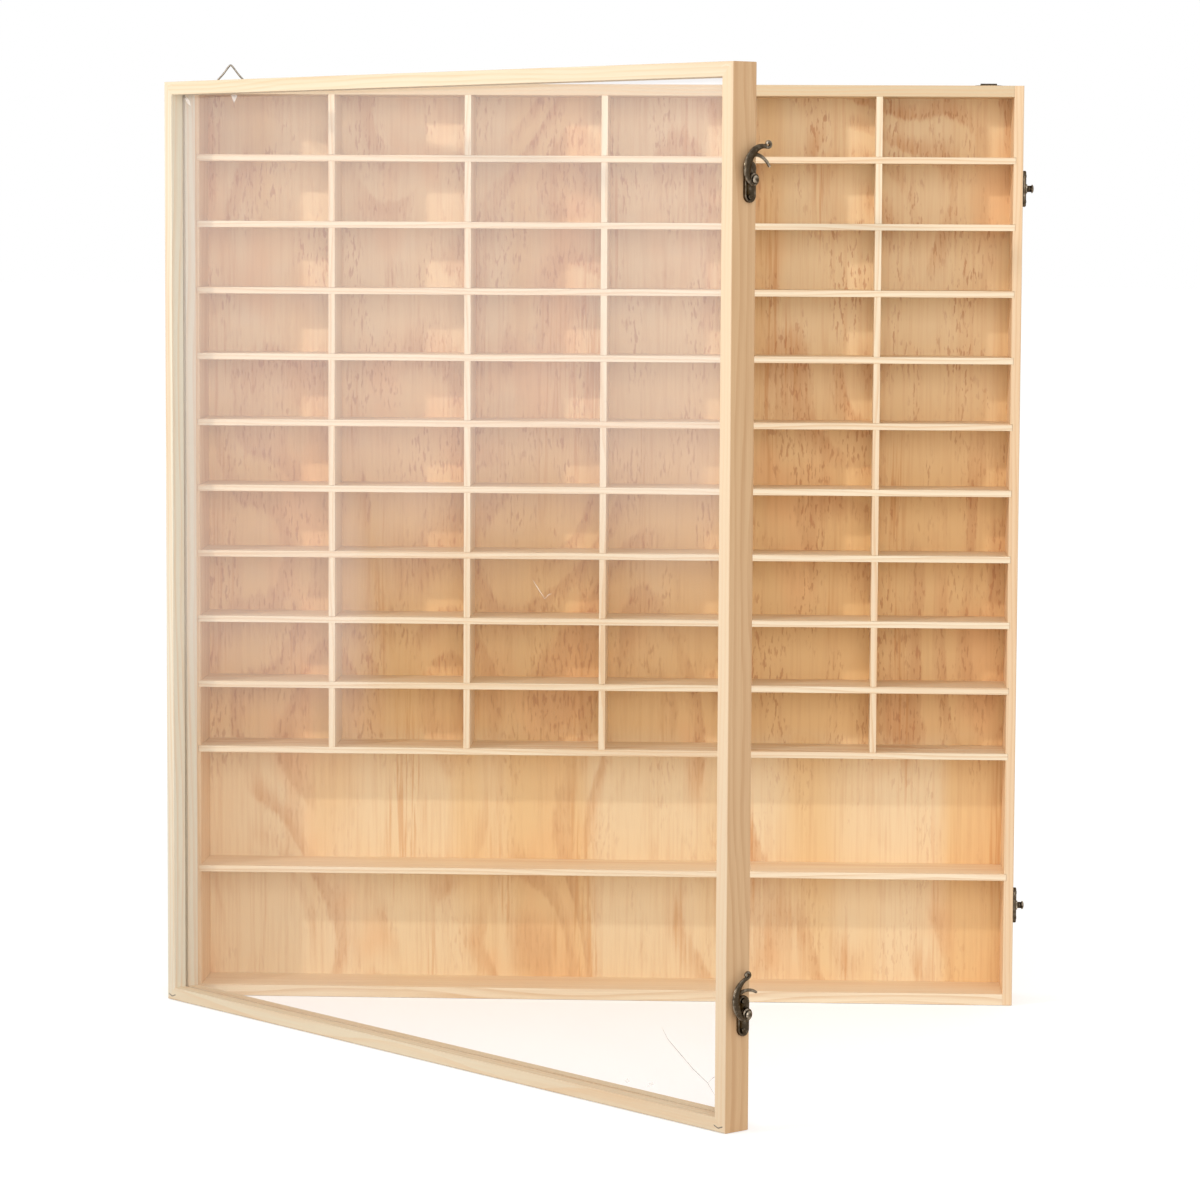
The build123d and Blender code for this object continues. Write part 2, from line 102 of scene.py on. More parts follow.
# The free stile's sides: a browner wood, darkened further as painted shade where they face away
# from the key lamp. Its front face takes stile_front
stile_side_wood_and_shade = (0.68, 0.44, 0.24)
stile_side_late_and_shade = (0.52, 0.28, 0.13)
stile_front = (0.82, 0.64, 0.44)
veneer_pale = (0.92, 0.72, 0.46)
veneer_amber = (0.88, 0.59, 0.28)
veneer_orange = (0.90, 0.53, 0.26)
veneer_late = (0.72, 0.41, 0.20)
veneer_fleck = (0.52, 0.20, 0.09)
veneer_streak = (0.68, 0.31, 0.11)
bronze_dark = (0.062, 0.044, 0.027)
# Rubbed bronze for edges and ridges, light enough to be a painted highlight too
bronze_rubbed_highlight = (0.56, 0.47, 0.36)
bronze_edge = (0.30, 0.24, 0.18)
steel_colour = (0.36, 0.32, 0.27)
nail_colour = (0.16, 0.14, 0.12)
nail_rubbed = (0.30, 0.24, 0.18)
filler_ruddy = (0.80, 0.52, 0.36)
crack_colour = (0.5, 0.46, 0.42)
film_colour = (0.93, 0.90, 0.88)
floor_pale = (0.80, 0.80, 0.80)
floor_dull = (0.78, 0.78, 0.78)
key_colour = (1.0, 0.95, 0.88)
fill_colour = (1.0, 0.98, 0.95)
# The acrylic veil's colours where it is heavy and where it is light: haze and a painted
# reflection of the room
haze_and_reflection_high = (0.97, 0.88, 0.89)
haze_and_reflection_low = (0.66, 0.42, 0.20)


class Graph:
    """A material's nodes, made one at a time"""

    def __init__(self, name):
        self.material = bpy.data.materials.new(name)
        self.material.use_nodes = True
        self.tree = self.material.node_tree
        self.tree.nodes.clear()

    def node(self, kind, inputs=(), **settings):
        made = self.tree.nodes.new("ShaderNode" + kind)
        for key, value in settings.items():
            setattr(made, key, value)
        for key, value in dict(inputs).items():
            if isinstance(value, bpy.types.NodeSocket):
                self.tree.links.new(value, made.inputs[key])
            elif isinstance(value, tuple) and made.inputs[key].type == "RGBA":
                made.inputs[key].default_value = (*value, 1)
            else:
                made.inputs[key].default_value = value
        return made

    def math(self, operation, first, second=0.0, clamp=False):
        made = self.node("Math", {0: first, 1: second}, operation=operation, use_clamp=clamp)
        return made.outputs[0]

    def times(self, first, second):
        return self.math("MULTIPLY", first, second)

    def plus(self, first, second, clamp=False):
        return self.math("ADD", first, second, clamp)

    def minus(self, first, second):
        return self.math("SUBTRACT", first, second)

    def between(self, value, low, high):
        """0 below low and 1 above high, or the other way round when high is the lower"""
        made = self.node(
            "MapRange",
            {"Value": value, "From Min": low, "From Max": high},
            interpolation_type="SMOOTHSTEP",
        )
        return made.outputs[0]

    def mix(self, share, first, second):
        made = self.node("Mix", {0: share, 6: first, 7: second}, data_type="RGBA")
        return made.outputs[2]

    def noise(self, place, scale, detail=3.0, roughness=0.55):
        settings = {"Vector": place, "Scale": scale, "Detail": detail, "Roughness": roughness}
        return self.node("TexNoise", settings).outputs[0]

    def stretched(self, place, along, across, deep):
        made = self.node("VectorMath", {0: place, 1: (along, across, deep)}, operation="MULTIPLY")
        return made.outputs[0]

    def grain_place(self, along, across, offset):
        """Object coordinates in metres, with X along the grain and a start of their own"""
        place = self.node("TexCoord").outputs["Object"]
        deep = along.cross(across)
        turned = self.node("CombineXYZ")
        for axis, direction in enumerate((along, across, deep)):
            part = self.node("VectorMath", {0: place, 1: direction}, operation="DOT_PRODUCT")
            self.tree.links.new(part.outputs["Value"], turned.inputs[axis])
        moved = self.node("VectorMath", {0: turned.outputs[0], 1: offset}, operation="ADD")
        return moved.outputs[0]

    def finish(self, bump, bump_depth, **inputs):
        """The shader, with a bump of that depth from a height of 0 to 1, or without one"""
        shader_inputs = {key.replace("_", " "): value for key, value in inputs.items()}
        if bump is not None:
            settings = {"Height": bump, "Strength": 1.0, "Distance": bump_depth}
            shader_inputs["Normal"] = self.node("Bump", settings).outputs[0]
        shader = self.node("BsdfPrincipled", shader_inputs)
        output = self.node("OutputMaterial")
        self.tree.links.new(shader.outputs[0], output.inputs[0])
        return self.material


def pine(name, along, across, number, pale, late=pine_late, rings=1.0, strands=0.7, front=None):
    """Sawn pine. Its growth rings run round a pith that lies off the board, along `across`.
    The first millimetre of a door member can have a colour of its own, `front`"""
    pith_away = 60 * mm
    ring_spacing = 2.7 * mm
    pith_wander = 22 * mm
    ring_ripple = 1.3 * mm
    graph = Graph(name)
    start = (0.37 * number, 0.011 * (number % 7), 0.013 * (number % 5))
    place = graph.grain_place(along, across, start)
    parts = graph.node("SeparateXYZ", {0: place}).outputs

    # The pith wanders along the board, so that the lines on its faces drift and close
    wander = graph.noise(graph.stretched(place, 3.0, 14.0, 14.0), 1.0, detail=2.0)
    ripple = graph.noise(graph.stretched(place, 22.0, 120.0, 120.0), 1.0, detail=2.0)
    far = graph.plus(parts[1], pith_away)
    distance = graph.plus(graph.times(far, far), graph.times(parts[2], parts[2]))
    radius = graph.math("SQRT", distance)
    radius = graph.plus(radius, graph.times(wander, pith_wander))
    radius = graph.plus(radius, graph.times(ripple, ring_ripple))
    phase = graph.math("FRACT", graph.math("DIVIDE", radius, ring_spacing))
    rise = graph.between(phase, 0.35, 0.92)
    fall = graph.between(phase, 1.0, 0.93)
    ring = graph.times(rise, fall)

    # Fibres, a slow change of tone and a few resin streaks
    fibre = graph.noise(graph.stretched(place, 22.0, 1300.0, 1300.0), 1.0, detail=3.0)
    tone = graph.noise(graph.stretched(place, 2.2, 60.0, 60.0), 1.0, detail=3.0)
    strand = graph.noise(graph.stretched(place, 4.5, 330.0, 330.0), 1.0, detail=3.0)
    resin = graph.noise(graph.stretched(place, 9.0, 520.0, 520.0), 1.0, detail=2.0)
    streak = graph.between(resin, 0.66, 0.78)
    share = graph.times(ring, 0.60 * rings)
    share = graph.plus(share, graph.times(graph.between(tone, 0.45, 0.76), 0.35))
    share = graph.plus(share, graph.times(streak, 0.35 * rings))
    strand_share = graph.times(graph.minus(strand, 0.47), 0.9 * strands)
    share = graph.plus(share, strand_share)
    fibre_share = graph.times(graph.minus(fibre, 0.5), 0.5)
    share = graph.plus(share, fibre_share, clamp=True)
    colour = graph.mix(share, pale, late)
    if front is not None:
        face_depth = door_front_depth + start[1]
        face = graph.between(parts[1], face_depth + 0.9 * mm, face_depth + 0.1 * mm)
        face_colour = graph.mix(graph.times(share, 0.6), front, pine_late)
        colour = graph.mix(face, colour, face_colour)

    roughness = graph.plus(graph.times(fibre, 0.25), 0.5)
    height = graph.plus(fibre, graph.times(ring, 0.5))
    return graph.finish(
        height,
        0.09 * mm,
        Base_Color=colour,
        Roughness=roughness,
        Specular_IOR_Level=0.3,
    )


def veneer(name):
    """Rotary-cut pine with an upright grain: wide cathedral figure, streaks and dark flecks"""
    graph = Graph(name)
    place = graph.grain_place(up, right, (0.0, 0.0, 0.0))
    parts = graph.node("SeparateXYZ", {0: place}).outputs

    # What follows the photograph's zones stays on the inner face. Heights and places across
    # are in metres
    low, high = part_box("back_panel")
    middle = (low[1] + high[1]) / 2
    inside = graph.between(parts[2], middle + 0.2 * mm, middle - 0.2 * mm)
    bays_top = (0.13, 0.17)
    zone_foot = (0.150, 0.175)
    zone_top = (0.46, 0.30)
    end_start = (0.212, 0.226)
    end_top = (0.22, 0.15)

    # Contour lines of a slow height make the figure that rotary cutting gives
    height = graph.noise(graph.stretched(place, 4.5, 9.0, 1.0), 1.0, detail=1.0, roughness=0.4)
    ripple = graph.noise(graph.stretched(place, 60.0, 330.0, 1.0), 1.0, detail=3.0)
    phase = graph.times(height, 12.0)
    phase = graph.math("FRACT", graph.plus(phase, graph.times(ripple, 0.34)))
    ring = graph.times(graph.between(phase, 0.25, 0.78), graph.between(phase, 1.0, 0.84))
    patches = graph.noise(graph.stretched(place, 6.0, 12.0, 1.0), 1.0, detail=2.0)
    figure = graph.times(ring, graph.between(patches, 0.44, 0.58))

    # Short dark pores gather in clusters, fewer in the bays, over fine upright fibres
    pores = graph.noise(graph.stretched(place, 120.0, 520.0, 1.0), 1.0, detail=2.0)
    gather = graph.noise(graph.stretched(place, 16.0, 42.0, 1.0), 1.0, detail=3.0)
    clusters = graph.math("MAXIMUM", graph.between(gather, 0.48, 0.62), figure)
    flecks = graph.times(graph.between(pores, 0.53, 0.63), clusters)
    cells = graph.times(graph.between(parts[0], *bays_top), inside)
    cells = graph.plus(graph.times(cells, 0.6), 0.4)
    flecks = graph.times(flecks, cells)
    bundle = graph.noise(graph.stretched(place, 3.4, 30.0, 1.0), 1.0, detail=3.0)
    thread = graph.noise(graph.stretched(place, 14.0, 430.0, 1.0), 1.0, detail=2.0)
    streak = graph.times(graph.between(bundle, 0.53, 0.64), graph.between(thread, 0.47, 0.64))
    fibre = graph.noise(graph.stretched(place, 20.0, 560.0, 1.0), 1.0, detail=3.0)
    strand = graph.noise(graph.stretched(place, 6.0, 190.0, 1.0), 1.0, detail=3.0)

    # Broad amber bands, one of them at the right end, and an amber zone across the lower rows
    bands = graph.noise(graph.stretched(place, 1.1, 11.0, 1.0), 1.0, detail=2.0)
    band = graph.between(bands, 0.50, 0.64)
    end_share = graph.plus(graph.times(graph.between(parts[0], *end_top), 0.6), 0.2)
    end_band = graph.times(graph.between(parts[1], *end_start), end_share)
    zone = graph.times(graph.between(parts[0], *zone_top), graph.between(parts[0], *zone_foot))
    amber = graph.math("MAXIMUM", end_band, graph.times(zone, 0.85))
    amber = graph.times(amber, inside)
    amber = graph.math("MAXIMUM", amber, graph.times(band, 0.75))
    colour = graph.mix(amber, veneer_pale, veneer_amber)
    glow = graph.noise(graph.stretched(place, 7.0, 13.0, 1.0), 1.0, detail=3.0)
    warm = graph.times(graph.between(glow, 0.52, 0.68), 0.55)
    colour = graph.mix(warm, colour, veneer_orange)
    share = graph.times(figure, 0.55)
    for layer, depth in ((fibre, 0.90), (strand, 0.95)):
        layer_share = graph.times(graph.minus(layer, 0.5), depth)
        share = graph.plus(share, layer_share)
    colour = graph.mix(graph.plus(share, 0.04, clamp=True), colour, veneer_late)
    colour = graph.mix(graph.times(streak, 0.50), colour, veneer_streak)
    colour = graph.mix(graph.times(flecks, 0.52), colour, veneer_fleck)

    roughness = graph.plus(graph.times(fibre, 0.25), 0.5)
    relief = graph.minus(fibre, graph.times(flecks, 0.6))
    return graph.finish(
        relief,
        0.08 * mm,
        Base_Color=colour,
        Roughness=roughness,
        Specular_IOR_Level=0.3,
    )


def bronze(name, rub_and_highlight):
    """Cast metal, darkened all over and rubbed back to a lighter brown on its edges and ridges,
    which also serves as a painted highlight
    """
    graph = Graph(name)
    place = graph.node("TexCoord").outputs["Object"]
    # Edges and ridges rubbed to a lighter brown, which also paints in the highlights
    rubbed_and_highlit = graph.between(graph.node("NewGeometry").outputs["Pointiness"], 0.503, 0.535)
    cloud = graph.noise(place, 420.0, detail=4.0)
    grit = graph.noise(place, 2600.0, detail=3.0)
    share = graph.times(rubbed_and_highlit, graph.between(cloud, 0.30, 0.62))
    share = graph.times(share, rub_and_highlight)
    share = graph.plus(share, graph.times(graph.between(cloud, 0.5, 0.8), 0.2))
    colour = graph.mix(share, bronze_dark, bronze_rubbed_highlight)
    roughness = graph.plus(graph.times(grit, 0.22), 0.16)
    return graph.finish(
        grit,
        0.04 * mm,
        Base_Color=colour,
        Metallic=1.0,
        Roughness=roughness,
        Specular_Tint=bronze_edge,
    )


def steel(name, colour, dull):
    graph = Graph(name)
    place = graph.node("TexCoord").outputs["Object"]
    cloud = graph.noise(place, 700.0, detail=4.0)
    lines = graph.noise(place, 5200.0, detail=2.0)
    darker = tuple(part * 0.55 for part in colour)
    shade = graph.mix(graph.between(cloud, 0.40, 0.70), colour, darker)
    roughness = graph.plus(graph.times(cloud, 0.3), dull)
    return graph.finish(
        lines,
        0.01 * mm,
        Base_Color=shade,
        Metallic=1.0,
        Roughness=roughness,
    )


def filled_nail(name):
    """A V-nail's edge: bare steel at the door's foot, filled and stained over at its top"""
    bare_below, filled_above = 0.2, 0.4
    graph = Graph(name)
    place = graph.node("TexCoord").outputs["Object"]
    height = graph.node("SeparateXYZ", {0: place}).outputs[2]
    cloud = graph.noise(place, 900.0, detail=3.0)
    dark = graph.mix(graph.between(cloud, 0.4, 0.7), nail_colour, nail_rubbed)
    filler = graph.mix(graph.between(cloud, 0.50, 0.75), rail_pale, filler_ruddy)
    colour = graph.mix(graph.between(height, bare_below, filled_above), dark, filler)
    roughness = graph.plus(graph.times(cloud, 0.3), 0.4)
    return graph.finish(cloud, 0.03 * mm, Base_Color=colour, Roughness=roughness)


def acrylic(name):
    """A clear sheet with a soft veil of haze and painted reflection, heavier over its upper half
    and on its front face only. The veil stays under a quarter, so that what is behind it stays
    sharp"""
    veil_least = 0.10
    veil_rise = 0.12
    smear_rise = 0.015
    graph = Graph(name)
    place = graph.grain_place(door_x, up, (0.0, 0.0, 0.0))
    parts = graph.node("SeparateXYZ", {0: place}).outputs
    corners = corners_of("acrylic_panel")
    reaches = [corner.dot(door_x) for corner in corners]
    levels = [corner.z for corner in corners]
    depths = [-corner.dot(door_y) for corner in corners]
    height = graph.between(parts[1], min(levels), max(levels))
    along = graph.between(parts[0], min(reaches), max(reaches))
    middle = (min(depths) + max(depths)) / 2
    front = graph.between(parts[2], middle, middle + 0.3 * mm)
    cloud = graph.noise(graph.stretched(place, 7.0, 3.5, 1.0), 1.0, detail=3.0)
    smear = graph.noise(graph.stretched(place, 26.0, 70.0, 1.0), 1.0, detail=2.0)

    # The veil, haze and painted reflection, covers the upper rows and a strip along the hinge
    # side
    wobble = graph.times(graph.minus(cloud, 0.5), 0.30)
    upper = graph.between(graph.plus(height, wobble), 0.34, 0.74)
    edge = graph.plus(along, graph.times(wobble, 0.5))
    edge = graph.minus(edge, graph.times(height, 0.06))
    strip_share = graph.times(graph.between(height, 0.14, 0.40), 0.55)
    strip_share = graph.plus(strip_share, 0.35)
    strip = graph.times(graph.between(edge, 0.42, 0.22), strip_share)
    reach = graph.math("MAXIMUM", upper, strip)
    veil = graph.plus(graph.times(reach, veil_rise), veil_least)
    veil = graph.plus(veil, graph.times(graph.between(smear, 0.5, 0.75), smear_rise))
    alpha = graph.times(veil, front)
    # The veil's colour is haze and a painted reflection of the room
    colour = graph.mix(reach, haze_and_reflection_low, haze_and_reflection_high)
    return graph.finish(
        None,
        0.0,
        Base_Color=colour,
        Roughness=0.08,
        Alpha=alpha,
        IOR=1.49,
    )


def film(name):
    """Scraps of protective film, and the pale scratch"""
    graph = Graph(name)
    place = graph.node("TexCoord").outputs["Object"]
    crease = graph.noise(place, 900.0, detail=3.0)
    alpha = graph.plus(graph.times(crease, 0.5), 0.35, clamp=True)
    return graph.finish(
        crease,
        0.05 * mm,
        Base_Color=film_colour,
        Roughness=0.25,
        Alpha=alpha,
    )


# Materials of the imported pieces. Each board has a grain of its own
def paint(node, material):
    piece = frame["nodes"][node]
    piece.data.materials.clear()
    piece.data.materials.append(material)


def soften(node, width):
    """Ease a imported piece's edges a little, as sanding does"""
    piece = frame["nodes"][node]
    weld = piece.modifiers.new("weld", "WELD")
    weld.merge_threshold = 0.001 * mm
    bevel = piece.modifiers.new("bevel", "BEVEL")
    bevel.width = width
    bevel.segments = 2
    bevel.limit_method = "ANGLE"
    bevel.angle_limit = math.radians(35)


board_edge = 0.25 * mm
member_edge = 0.2 * mm
leaf_edge = 0.12 * mm
boards = {
    "side_wall_left": (up, back, wall_pale),
    "side_wall_right": (up, back, wall_pale),
    "top_board": (right, back, top_wood_and_shade),
    # The bottom board and the large shelf carry painted light on their tops in their paler colour
    "bottom_board": (right, back, board_pale_and_painted_light),
    "large_shelf": (right, back, board_pale_and_painted_light),
}
boards.update({f"shelf_{row:02}": (right, back, pine_pale) for row in range(1, 11)})
boards.update({f"divider_{number}": (up, back, pine_pale) for number in range(1, 6)})
for number, (node, (along, across, pale)) in enumerate(boards.items()):
    paint(node, pine(f"pine.{node}", along, across, number, pale, rings=0.7))
    soften(node, board_edge)

members = {
    "stile_left": (up, door_y, hinge_stile_pale, pine_late, 0.5, 0.6),
    "rail_top": (door_x, door_y, rail_pale, pine_late, 0.45, 0.4),
    "stile_right": (up, door_y, stile_side_wood_and_shade, stile_side_late_and_shade, 0.6, 0.9, stile_front),
    "rail_bottom": (door_x, door_y, rail_pale, pine_late, 0.45, 0.4),
}
for number, (node, (along, across, *look)) in enumerate(members.items(), start=40):
    paint(node, pine(f"pine.{node}", along, across, number, *look))
    soften(node, member_edge)

paint("back_panel", veneer("veneer.back_panel"))
paint("acrylic_panel", acrylic("acrylic.panel"))
metal = bronze("bronze.plain", rub_and_highlight=0.1)
metal_cast = bronze("bronze.cast", rub_and_highlight=1.0)
wire_steel = steel("steel.wire", steel_colour, 0.25)
nail_steel = steel("steel.nail", nail_colour, 0.4)
for node in frame["nodes"]:
    if node.startswith(("hinge", "hanger_strap", "hanger_screws")):
        paint(node, metal)
    if node in ("case_nails", "back_panel_pins"):
        paint(node, nail_steel)
paint("corner_nails", filled_nail("steel.v_nail"))
for place in ("upper", "lower"):
    soften(f"hinge_case_leaf_{place}", leaf_edge)
    soften(f"hinge_door_leaf_{place}", leaf_edge)


def link(name, mesh, material, smooth=True):
    piece = bpy.data.objects.new(name, mesh)
    bpy.context.scene.collection.objects.link(piece)
    mesh.materials.append(material)
    for face in mesh.polygons:
        face.use_smooth = smooth
    return piece


def frame_of(origin, x_dir, z_dir):
    """Where to place a piece made in millimetres, with X along x_dir and Z along z_dir"""
    y_dir = z_dir.cross(x_dir)
    turn = Matrix((x_dir, y_dir, z_dir)).transposed().to_4x4()
    return Matrix.Translation(origin) @ turn @ Matrix.Scale(mm, 4)


def stacked(bm, rings):
    """A closed skin over rings of points, each ring with as many points as the last"""
    rows = [[bm.verts.new(point) for point in ring] for ring in rings]
    for low, high in zip(rows, rows[1:]):
        for place in range(len(low)):
            after = (place + 1) % len(low)
            bm.faces.new((low[place], low[after], high[after], high[place]))
    bm.faces.new(reversed(rows[0]))
    bm.faces.new(rows[-1])


def circle(radius, height):
    sides = 32
    turns = [2 * math.pi * step / sides for step in range(sides)]
    return [Vector((radius * math.cos(turn), radius * math.sin(turn), height)) for turn in turns]


def oblong(half_run, radius, height):
    """An upright oblong with round ends"""
    steps = 16
    points = []
    for end, first in ((half_run, 0.0), (-half_run, math.pi)):
        turns = [first + math.pi * step / steps for step in range(steps + 1)]
        around = [(radius * math.cos(turn), radius * math.sin(turn)) for turn in turns]
        points += [Vector((x, end + y, height)) for x, y in around]
    return points


def mesh_of(name, bm, placing):
    bmesh.ops.recalc_face_normals(bm, faces=bm.faces)
    mesh = bpy.data.meshes.new(name)
    bm.to_mesh(mesh)
    bm.free()
    mesh.transform(placing)
    return mesh


def baked(name, source, material):
    """The piece with its modifiers applied, under its own name"""
    graph = bpy.context.evaluated_depsgraph_get()
    mesh = bpy.data.meshes.new_from_object(source.evaluated_get(graph))
    bpy.data.objects.remove(source)
    mesh.materials.clear()
    return link(name, mesh, material)


def eased(p, q, r, s, t):
    """The value at a share t of the way from q to r, on a smooth curve from p to s"""
    square = (2 * p - 5 * q + 4 * r - s) * t * t
    cube = (3 * q - p - 3 * r + s) * t**3
    return 0.5 * (2 * q + (r - p) * t + square + cube)


def curve_points(points):
    """A smooth line through points that hold any number of values"""
    steps = 6
    line = []
    rows = [points[0]] + list(points) + [points[-1]]
    for stretch in zip(rows, rows[1:], rows[2:], rows[3:]):
        for step in range(steps):
            line.append([eased(*values, step / steps) for values in zip(*stretch)])
    line.append(list(points[-1]))
    return line


def limb(bm, points):
    """A rounded bar. Each point is its x, y and z, half its width and half its thickness"""
    sides = 14
    line = curve_points(points)
    rings = []
    for place, (x, y, z, wide, thick) in enumerate(line):
        before = line[max(place - 1, 0)]
        after = line[min(place + 1, len(line) - 1)]
        run = Vector((after[0] - before[0], after[1] - before[1], 0)).normalized()
        aside = Vector((-run.y, run.x, 0))
        middle = Vector((x, y, z))
        ring = []
        for side in range(sides):
            turn = 2 * math.pi * side / sides
            ring.append(middle + aside * wide * math.cos(turn) + up * thick * math.sin(turn))
        rings.append(ring)
    stacked(bm, rings)


# Swing-hook latches. Places are in millimetres from the pivot: X towards the case's back
# and Y up, with Z off the wood
collar_face = 2.8
hook_mid = 4.1
head_face = 5.4
head_top = 6.8
hook_voxel = 0.2 * mm
rivet_radii = (2.4, 1.5, 2.2)
post_radii = (2.9, 2.0, 2.7)
plate_field = 1.6
plate_screw_spacing = 16
eye_outer = 3.4
eye_profile = ((-0.5, -1.1), (0.0, -0.7), (0.0, 0.7), (-0.5, 1.1))

# The prong runs round the pivot at one distance, and the arm's points are x, y, half the
# width and half the thickness
prong_middle = 13.37
prong_root_angle = 124
prong_step_angle = 13
prong_halves = (1.6, 1.25, 1.0, 0.9, 0.85, 0.75)
prong_thick = 0.95
hook_arm = [
    (1.2, -2.7, 0.8, 0.85),
    (-0.8, -2.8, 1.2, 1.0),
    (-3.2, -2.0, 1.65, 1.15),
    (-5.6, 0.2, 2.1, 1.25),
    (-7.3, 3.4, 2.45, 1.3),
    (-8.1, 7.2, 2.6, 1.3),
    (-7.9, 11.0, 2.45, 1.3),
    (-6.7, 14.5, 2.05, 1.25),
    (-4.6, 17.3, 1.6, 1.1),
    (-2.0, 19.2, 1.2, 1.0),
    (0.4, 19.9, 0.95, 0.95),
    (1.75, 21.0, 0.95, 0.95),
    (1.5, 22.5, 0.95, 0.95),
    (0.1, 22.95, 0.95, 0.95),
    (-1.1, 22.0, 0.9, 0.9),
    (-0.7, 21.0, 0.8, 0.85),
]

# How far each hook is turned from that outline at rest, in degrees
hook_turns = {"upper": -28.5, "lower": 0.0}


def swing_hook(place, placing):
    """The arm, the prong and the eye, run together by a remesh into one casting"""
    bm = bmesh.new()
    limb(bm, [(x, y, hook_mid, wide, thick) for x, y, wide, thick in hook_arm])
    prong = []
    for step, half in enumerate(prong_halves):
        turn = math.radians(prong_root_angle - prong_step_angle * step)
        x, y = prong_middle * math.cos(turn), prong_middle * math.sin(turn)
        prong.append((x, y, hook_mid, half, prong_thick))
    limb(bm, prong)
    stacked(bm, [circle(eye_outer + grow, hook_mid + rise) for grow, rise in eye_profile])
    source = link("hook_source", mesh_of("hook_source", bm, placing), metal_cast)
    remesh = source.modifiers.new("remesh", "REMESH")
    remesh.mode = "VOXEL"
    remesh.voxel_size = hook_voxel
    smooth = source.modifiers.new("smooth", "SMOOTH")
    smooth.factor = 0.5
    smooth.iterations = 4
    piece = baked(f"latch_hook_{place}", source, metal_cast)
    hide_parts(f"hook_{place}")
    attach(piece, f"{place}_hook")


def rivet(name, node, body, placing, collar, neck, head):
    """A shouldered rivet with a domed head"""
    foot, ease, head_ease, head_edge = 0.1, 0.2, 0.25, 0.35
    profile = (
        (collar, foot),
        (collar, collar_face - ease),
        (collar - ease, collar_face),
        (neck, collar_face),
        (neck, head_face),
        (head - head_ease, head_face),
    )
    rings = [circle(radius, height) for radius, height in profile]
    dome_foot = head_face + head_edge
    for turn in range(0, 90, 10):
        rise = math.sin(math.radians(turn)) ** 1.3
        wide = math.cos(math.radians(turn)) ** 0.7
        rings.append(circle(head * wide, dome_foot + (head_top - dome_foot) * rise))
    bm = bmesh.new()
    stacked(bm, rings)
    piece = link(name, mesh_of(name, bm, placing), metal_cast)
    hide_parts(node)
    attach(piece, body)


def plate(name, node, body, placing):
    """An oblong plate with a raised rim round its field"""
    half_run, radius = 7.25, 4.0
    edge = ((0.15, 0.0), (0.0, 0.2), (0.0, 1.5))
    rim = ((0.2, 1.85), (0.5, 2.0), (0.85, 1.9), (1.1, plate_field))
    rings = [oblong(half_run, radius - inset, height) for inset, height in edge + rim]
    bm = bmesh.new()
    stacked(bm, rings)
    piece = link(name, mesh_of(name, bm, placing), metal)
    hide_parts(node)
    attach(piece, body)


def screw_head(bm, placing):
    """A round head with a cross recess"""
    radius, rise = 1.5, 0.75
    slot_depth, slot_half, slot_reach = 0.45, 0.28, 0.66
    rings = [[placing @ point for point in circle(radius, 0.0)]]
    for share in (1.0, 0.96, 0.86, 0.74, 0.62, 0.52, 0.44, 0.36, 0.28, 0.18, 0.08):
        ring = []
        for point in circle(radius * share, 0.0):
            height = rise * math.sqrt(max(0.0, 1 - share * share)) + 0.05
            if share < slot_reach and min(abs(point.x), abs(point.y)) < slot_half:
                height -= slot_depth * (1 - share / 0.9)
            ring.append(placing @ Vector((point.x, point.y, height)))
        rings.append(ring)
    stacked(bm, rings)


def screws(name, node, body, placings):
    """The heads of one plate pair's screws, as one piece"""
    bm = bmesh.new()
    for placing in placings:
        screw_head(bm, placing)
    piece = link(name, mesh_of(name, bm, Matrix.Identity(4)), metal)
    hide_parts(node)
    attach(piece, body)


def screw_places(placing):
    """The two places on a plate, each with a recess turned its own way"""
    places = []
    for offset, angle in ((-plate_screw_spacing / 2, 25), (plate_screw_spacing / 2, 65)):
        turn = Matrix.Rotation(math.radians(angle), 4, "Z")
        places.append(placing @ Matrix.Translation((0, offset, plate_field)) @ turn)
    return places


hook_screws = []
catch_screws = []
for place in ("upper", "lower"):
    pivot = Vector(joints[f"{place}_hook_pivot"]["pos_m"])
    hook_place = frame_of(pivot, door_y, door_x)
    low, high = (Vector(corner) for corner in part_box(f"hook_plate_{place}"))
    plate_place = frame_of(Vector((pivot.x, pivot.y, (low.z + high.z) / 2)), door_y, door_x)
    low, high = (Vector(corner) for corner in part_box(f"catch_plate_{place}"))
    catch_middle = (low + high) / 2
    catch_place = frame_of(Vector((low.x, catch_middle.y, catch_middle.z)), back, right)
    swung = hook_place @ Matrix.Rotation(math.radians(hook_turns[place]), 4, "Z")
    swing_hook(place, swung)
    rivet(f"latch_stud_{place}", f"hook_stud_{place}", "door", hook_place, *rivet_radii)
    rivet(f"catch_post_{place}", f"catch_stud_{place}", "case", catch_place, *post_radii)
    plate(f"latch_plate_{place}", f"hook_plate_{place}", "door", plate_place)
    plate(f"catch_plate_cast_{place}", f"catch_plate_{place}", "case", catch_place)
    hook_screws += screw_places(plate_place)
    catch_screws += screw_places(catch_place)
screws("latch_screw_heads", "hook_plate_screws", "door", hook_screws)
screws("catch_screw_heads", "catch_plate_screws", "case", catch_screws)


# Hanging rings of bent wire, with their ends meeting inside the rolled strap. The wire's
# radius is in metres, and the strap's measures are in millimetres
ring_wire = 0.62 * mm
strap_thickness = 0.8
strap_ease = 0.25
roll_sides = 28


